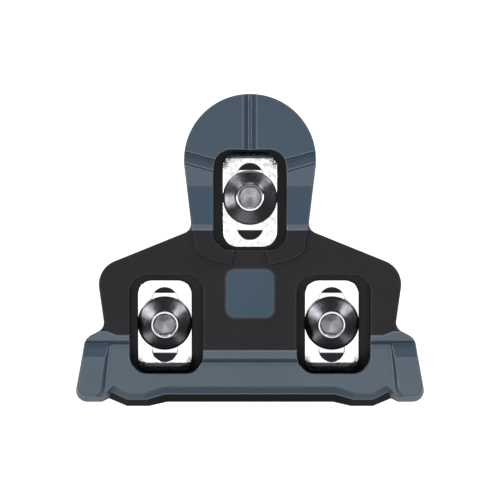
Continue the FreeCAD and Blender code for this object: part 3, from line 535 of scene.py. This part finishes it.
# %% [markdown]
# From rings to a closed skin
#
# A bmesh is Blender's workbench for building a mesh piece by piece. Four-sided faces
# join each ring to the next one, and a fan of triangles closes each end. All faces are
# shaded smooth, and an edge stays crisp where its two faces meet at more than a set
# angle, which keeps the socket sharp and the cone round.

# %% A skin over the rings
CRISP_ANGLE = math.radians(28.0)


def skin(name, rings):
    """A closed mesh from a stack of rings, with a point of its own at each end."""
    mesh = bpy.data.meshes.new(name)
    work = bmesh.new()
    rows = [[work.verts.new(point) for point in ring] for ring in rings]
    following = [(i + 1) % STEPS_ROUND for i in range(STEPS_ROUND)]
    for low, high in zip(rows, rows[1:]):
        for i, j in enumerate(following):
            work.faces.new((low[i], low[j], high[j], high[i]))
    for row, faces_down in ((rows[0], True), (rows[-1], False)):
        middle = sum((v.co for v in row), Vector()) / STEPS_ROUND
        end = work.verts.new(middle)
        for i, j in enumerate(following):
            work.faces.new((row[j], row[i], end) if faces_down else (row[i], row[j], end))
    work.normal_update()
    for face in work.faces:
        face.smooth = True
    for edge in work.edges:
        if edge.calc_face_angle(0.0) > CRISP_ANGLE:
            edge.smooth = False
    work.to_mesh(mesh)
    work.free()
    bolt = bpy.data.objects.new(name, mesh)
    bpy.context.collection.objects.link(bolt)
    return bolt


print("edges over", round(math.degrees(CRISP_ANGLE)), "degrees stay crisp")

# %% [markdown]
# Turned steel
#
# The head is lathe turned, blackened and polished. The lathe leaves fine rings, and
# they stretch every light into streaks that run out from the middle. A bump would need
# hundreds of tiny grooves for that. The principled shader does it with its anisotropy,
# when the tangent goes round the bolt's axis. The raised ring and the socket were
# struck bright, so they get a paler metal. One material holds all three, chosen by the
# distance from the axis and the height, both read from the bolt's own space.

# %% Three zones of one bolt
STREAKS = 0.7
turned_steel, tree, shader, add = blank_material("dark_bolt_steel")
set_inputs(shader, {"Metallic": 1.0, "Anisotropic": STREAKS})
round_axis = add("ShaderNodeTangent", direction_type="RADIAL", axis="Z")
tree.links.new(round_axis.outputs["Tangent"], shader.inputs["Tangent"])
place = add("ShaderNodeTexCoord")
parts = add("ShaderNodeSeparateXYZ")
tree.links.new(place.outputs["Object"], parts.inputs["Vector"])
flat = add("ShaderNodeCombineXYZ")
for key in ("X", "Y"):
    tree.links.new(parts.outputs[key], flat.inputs[key])
from_axis = add("ShaderNodeVectorMath", operation="LENGTH")
tree.links.new(flat.outputs["Vector"], from_axis.inputs[0])


def zone(source, outside, inside):
    """1 on the inner side of a border and 0 on its outer side."""
    return levels(tree, add, source, 0.0, 1.0, outside, inside)


on_top = zone(parts.outputs["Z"], HEAD_HEIGHT - 0.5 * MM, HEAD_HEIGHT - 0.4 * MM)
within_ring = zone(from_axis.outputs["Value"], RING_RADIUS + 0.06 * MM, RING_RADIUS + 0.02 * MM)
within_mouth = zone(from_axis.outputs["Value"], SOCKET_MOUTH + 0.02 * MM, SOCKET_MOUTH - 0.02 * MM)
over_seat = zone(parts.outputs["Z"], 0.0, 0.1 * MM)
in_ring = product(tree, add, on_top, within_ring)
in_socket = product(tree, add, within_mouth, over_seat)
print("the ring's zone starts", round((RING_RADIUS + 0.06 * MM) / MM, 2), "mm from the axis")

# %% A dark cone, a bright ring and a dull socket
CONE_STEEL = (0.11, 0.11, 0.12)
RING_STEEL = (0.72, 0.72, 0.73)
SOCKET_STEEL = (0.38, 0.38, 0.41)
RUB_SCALE = 700.0
CONE_ROUGHNESS = (0.13, 0.24)
RING_POLISH = -0.10
SOCKET_DULLNESS = 0.25

outer_colour = mixed(tree, add, in_ring, CONE_STEEL, RING_STEEL)
colour = mixed(tree, add, in_socket, outer_colour, SOCKET_STEEL)
tree.links.new(colour, shader.inputs["Base Color"])
rough = levels(tree, add, grain(tree, add, RUB_SCALE, 3.0), *CONE_ROUGHNESS)
rough = scaled_sum(tree, add, in_ring, RING_POLISH, rough)
rough = scaled_sum(tree, add, in_socket, SOCKET_DULLNESS, rough)
tree.links.new(rough, shader.inputs["Roughness"])
print("three finishes on", turned_steel.name)

# %% [markdown]
# Three bolts on their seats
#
# The record names the middle of each bolt's thread and the way it points. Each bolt
# leans with the curve of the sole, so its place and its lean both come from there and
# aren't typed in. The sockets are turned by a few degrees each, because nobody
# tightens three bolts to the same angle. Each bolt rides on its own sliding body, so
# that it moves with its joint, and takes the place of the plain solid.

# %% Set the bolts on the washers
THREAD_MIDDLE = 4.95 * MM
SOCKET_TURNS = {"front": 3.0, "left": 8.0, "right": -8.0}
mounts = {mount["name"]: mount for mount in record["mounts"]}
for side, socket_turn in SOCKET_TURNS.items():
    mount = mounts[side + "_thread"]
    down = Vector(mount["axis"])
    seat = Vector(mount["pos_m"]) - down * THREAD_MIDDLE
    lean = Vector((0.0, 0.0, -1.0)).rotation_difference(down).to_matrix().to_4x4()
    bolt = skin(side + "_bolt_turned", bolt_rings(math.radians(socket_turn)))
    bolt.matrix_world = Matrix.Translation(seat) @ lean
    bolt.data.materials.append(turned_steel)
    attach(bolt, side + "_bolt_slide")
    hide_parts(side + "_bolt")
    place_mm = [round(value / MM, 2) for value in seat]
    print("made", bolt.name, "with", len(bolt.data.polygons), "faces, its seat at", place_mm)

# %% [markdown]
# The table
#
# The cleat lies on a plain white sheet. A brighter lamp would make the sheet white,
# and would wash out the cleat with it. So the sheet is a pale matt one that keeps the
# shadow and throws a little light back up, and a light path adds plain white for the
# rays that come from the camera, with a fifth of it for those off bright metal. The
# eye then sees a white table, and the cleat is lit by the lamps alone.

# %% A white sheet under the cleat
FLOOR_SIZE = 1.6
FLOOR_COLOUR = (0.55, 0.55, 0.55)
FLOOR_ROUGHNESS = 0.9
MIRRORED_WHITE = 0.2

half = FLOOR_SIZE / 2.0
floor_mesh = bpy.data.meshes.new("floor_sheet")
corners = [(-half, -half, 0.0), (half, -half, 0.0), (half, half, 0.0), (-half, half, 0.0)]
floor_mesh.from_pydata(corners, [], [(0, 1, 2, 3)])
floor = bpy.data.objects.new("floor_sheet", floor_mesh)
bpy.context.collection.objects.link(floor)
floor_white, tree, shader, add = blank_material("floor_white")
set_inputs(shader, {"Base Color": (*FLOOR_COLOUR, 1.0), "Roughness": FLOOR_ROUGHNESS})
paths = add("ShaderNodeLightPath")
mirrored = add("ShaderNodeMath", operation="MULTIPLY")
mirrored.inputs[1].default_value = MIRRORED_WHITE
tree.links.new(paths.outputs["Is Glossy Ray"], mirrored.inputs[0])
seen = add("ShaderNodeMath", operation="MAXIMUM")
tree.links.new(paths.outputs["Is Camera Ray"], seen.inputs[0])
tree.links.new(mirrored.outputs["Value"], seen.inputs[1])
shader.inputs["Emission Color"].default_value = (1.0, 1.0, 1.0, 1.0)
tree.links.new(seen.outputs["Value"], shader.inputs["Emission Strength"])
floor_mesh.materials.append(floor_white)
print("the sheet is", FLOOR_SIZE, "m wide")

# %% [markdown]
# Light
#
# Bright metal tells how a photo was lit, because it mirrors the room. The rear washers
# lean to the rear and are plain white, so a white sheet hangs over the rear half. The
# front washer is a shade darker, so the sheet ends just past the middle. The cones of
# the bolts are dark, with a few bright streaks. A lamp's streak shows where the lamp
# stands: it points the same way, and the slope of the cone gives the lean away from
# the zenith. So each small lamp is written as these two angles, how bright it looks
# and how wide it is, and between the lamps the room is dim.

# %% Lamps that look equally bright from anywhere
def area_lamp(name, size, radiance):
    """A flat lamp of that width and length, which looks as bright as the radiance."""
    light = bpy.data.lights.new(name, "AREA")
    light.shape = "RECTANGLE"
    light.size, light.size_y = size
    light.energy = math.pi * size[0] * size[1] * radiance
    lamp = bpy.data.objects.new(name, light)
    bpy.context.collection.objects.link(lamp)
    print("lamp", name, "gives", round(light.energy, 2), "watts")
    return lamp


def soft_box(name, place, size, radiance):
    """A flat lamp at that place, turned to face the cleat."""
    lamp = area_lamp(name, size, radiance)
    lamp.location = place
    lamp.rotation_mode = "QUATERNION"
    lamp.rotation_quaternion = (-Vector(place)).to_track_quat("-Z", "Y")


# %% One sheet overhead
SHEET_HEIGHT = 2.0
SHEET_WIDTH = 1.5
SHEET_FRONT = 0.25
SHEET_REAR = -1.25
SHEET_RADIANCE = 1.15
sheet = area_lamp("overhead_sheet", (SHEET_WIDTH, SHEET_FRONT - SHEET_REAR), SHEET_RADIANCE)
sheet.location = (0.0, (SHEET_FRONT + SHEET_REAR) / 2.0, SHEET_HEIGHT)

# %% Small lamps round the table
LAMP_REACH = 1.3
SMALL_LAMPS = {
    # name: degrees round the table from the right, degrees off the zenith, radiance, width
    "left_lamp": (180.0, 36.0, 7.0, 0.40),
    "right_lamp": (11.0, 31.0, 6.0, 0.32),
    "rear_left_lamp": (236.0, 63.0, 2.0, 0.28),
    "rear_right_lamp": (299.0, 66.0, 1.5, 0.24),
    "front_left_lamp": (127.0, 52.0, 5.0, 0.28),
    "front_right_lamp": (49.0, 52.0, 5.0, 0.28),
    "front_lamp": (90.0, 66.0, 2.0, 0.60),
}
for name, (way_round, off_zenith, radiance, width) in SMALL_LAMPS.items():
    way = math.radians(way_round)
    lean = math.radians(off_zenith)
    flat_reach = LAMP_REACH * math.sin(lean)
    place = (flat_reach * math.cos(way), flat_reach * math.sin(way), LAMP_REACH * math.cos(lean))
    soft_box(name, place, (width, width), radiance)

# %% [markdown]
# The last two lights are wide and weak. A long panel behind the cleat puts a soft
# gloss on the slopes that lean to the rear, such as those of the ledge and the wings.
# The dim room fills the shadows a little, as white walls do, so that the pocket walls
# stay dark but can still be read.

# %% A rear panel and a dim room
REAR_PANEL_PLACE = (-0.20, -0.78, 1.00)
REAR_PANEL_SIZE = (0.9, 0.20)
REAR_PANEL_RADIANCE = 1.0
ROOM_STRENGTH = 0.19
soft_box("rear_panel", REAR_PANEL_PLACE, REAR_PANEL_SIZE, REAR_PANEL_RADIANCE)
world = bpy.data.worlds.new("dim_room")
bpy.context.scene.world = world
world.use_nodes = True
room = world.node_tree.nodes["Background"]
set_inputs(room, {"Color": (1.0, 1.0, 1.0, 1.0), "Strength": ROOM_STRENGTH})
print("the room has a strength of", ROOM_STRENGTH)

# %% [markdown]
# The camera
#
# The photo was taken square on from above, from far away: the pocket walls hardly
# show. So the camera hangs high over the middle and looks straight down, with a long
# lens. The lens is worked out from the camera's height and from how wide the picture
# is at the height of the cleat's upper faces, so that one millimetre there has the
# same size as in the photo. The Standard view shows each colour as it is written.

# %% A long lens, straight down
CAMERA_HEIGHT = 1.6
PICTURE_WIDTH = 100.0 * MM
MIDDLE_HEIGHT = 11.0 * MM
SENSOR_WIDTH = 36.0
FARTHEST = 10.0
camera_data = bpy.data.cameras.new("camera")
camera = bpy.data.objects.new("camera", camera_data)
bpy.context.collection.objects.link(camera)
camera_data.sensor_width = SENSOR_WIDTH
camera_data.lens = SENSOR_WIDTH * (CAMERA_HEIGHT - MIDDLE_HEIGHT) / PICTURE_WIDTH
camera_data.clip_end = FARTHEST
camera.location = (0.0, 0.0, CAMERA_HEIGHT)
bpy.context.scene.camera = camera
bpy.context.scene.view_settings.view_transform = "Standard"
print("the lens is", round(camera_data.lens, 1), "mm long")
